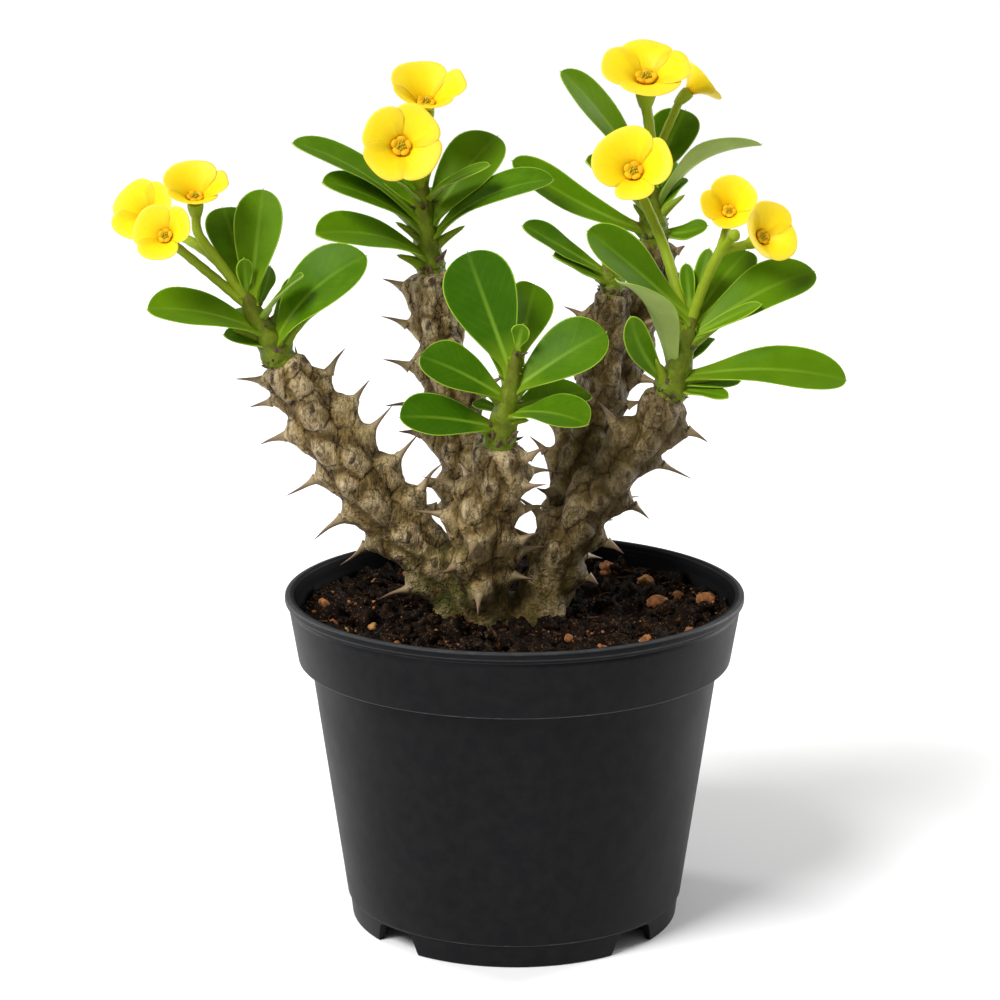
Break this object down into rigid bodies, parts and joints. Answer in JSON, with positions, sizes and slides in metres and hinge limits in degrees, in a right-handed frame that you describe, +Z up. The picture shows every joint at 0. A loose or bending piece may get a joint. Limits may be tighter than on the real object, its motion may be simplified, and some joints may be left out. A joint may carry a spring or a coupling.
{
  "type": "potted euphorbia",
  "caption": "Spiny branching houseplant with oval leaves and round yellow flowers, standing in a tapered plastic nursery pot filled with soil.",
  "frame": {"origin": "centre of the pot's base, on the pot's axis and on the surface that the pot stands on", "axes": "+Z up along the pot's axis, +X to the right and -Y towards the viewer in the plant's front view"},
  "size_m": [0.1873, 0.12, 0.2284],
  "materials": {
    "pot": "fine-grained satin moulded plastic, nearly black",
    "soil": "loose dark peat with small orange-brown crumbs",
    "wood": "rough grey-brown bark with raised cushions and hard spines",
    "leaf": "smooth satin green leaf with a pale midrib and margin",
    "bloom": "soft satin yellow bract, deeper towards the throat",
    "glands": "moist fleshy orange"
  },
  "bodies": {
    "root": {"pot": "pot", "soil": "soil", "wood": "wood", "shoot_left": "leaf", "shoot_middle_left": "leaf", "shoot_centre": "leaf", "shoot_back_right": "leaf", "shoot_side": "leaf", "shoot_right": "leaf", "bloom_left_front": "bloom", "glands_left_front": "glands", "bloom_left_top": "bloom", "glands_left_top": "glands", "bloom_left_back": "bloom", "glands_left_back": "glands", "bloom_middle_front": "bloom", "glands_middle_front": "glands", "bloom_middle_back": "bloom", "glands_middle_back": "glands", "bloom_right_top": "bloom", "glands_right_top": "glands", "bloom_right_back": "bloom", "glands_right_back": "glands", "bloom_right_front": "bloom", "glands_right_front": "glands", "bloom_right_small": "bloom", "glands_right_small": "glands", "bloom_right_side": "bloom", "glands_right_side": "glands"}
  },
  "joints": []
}
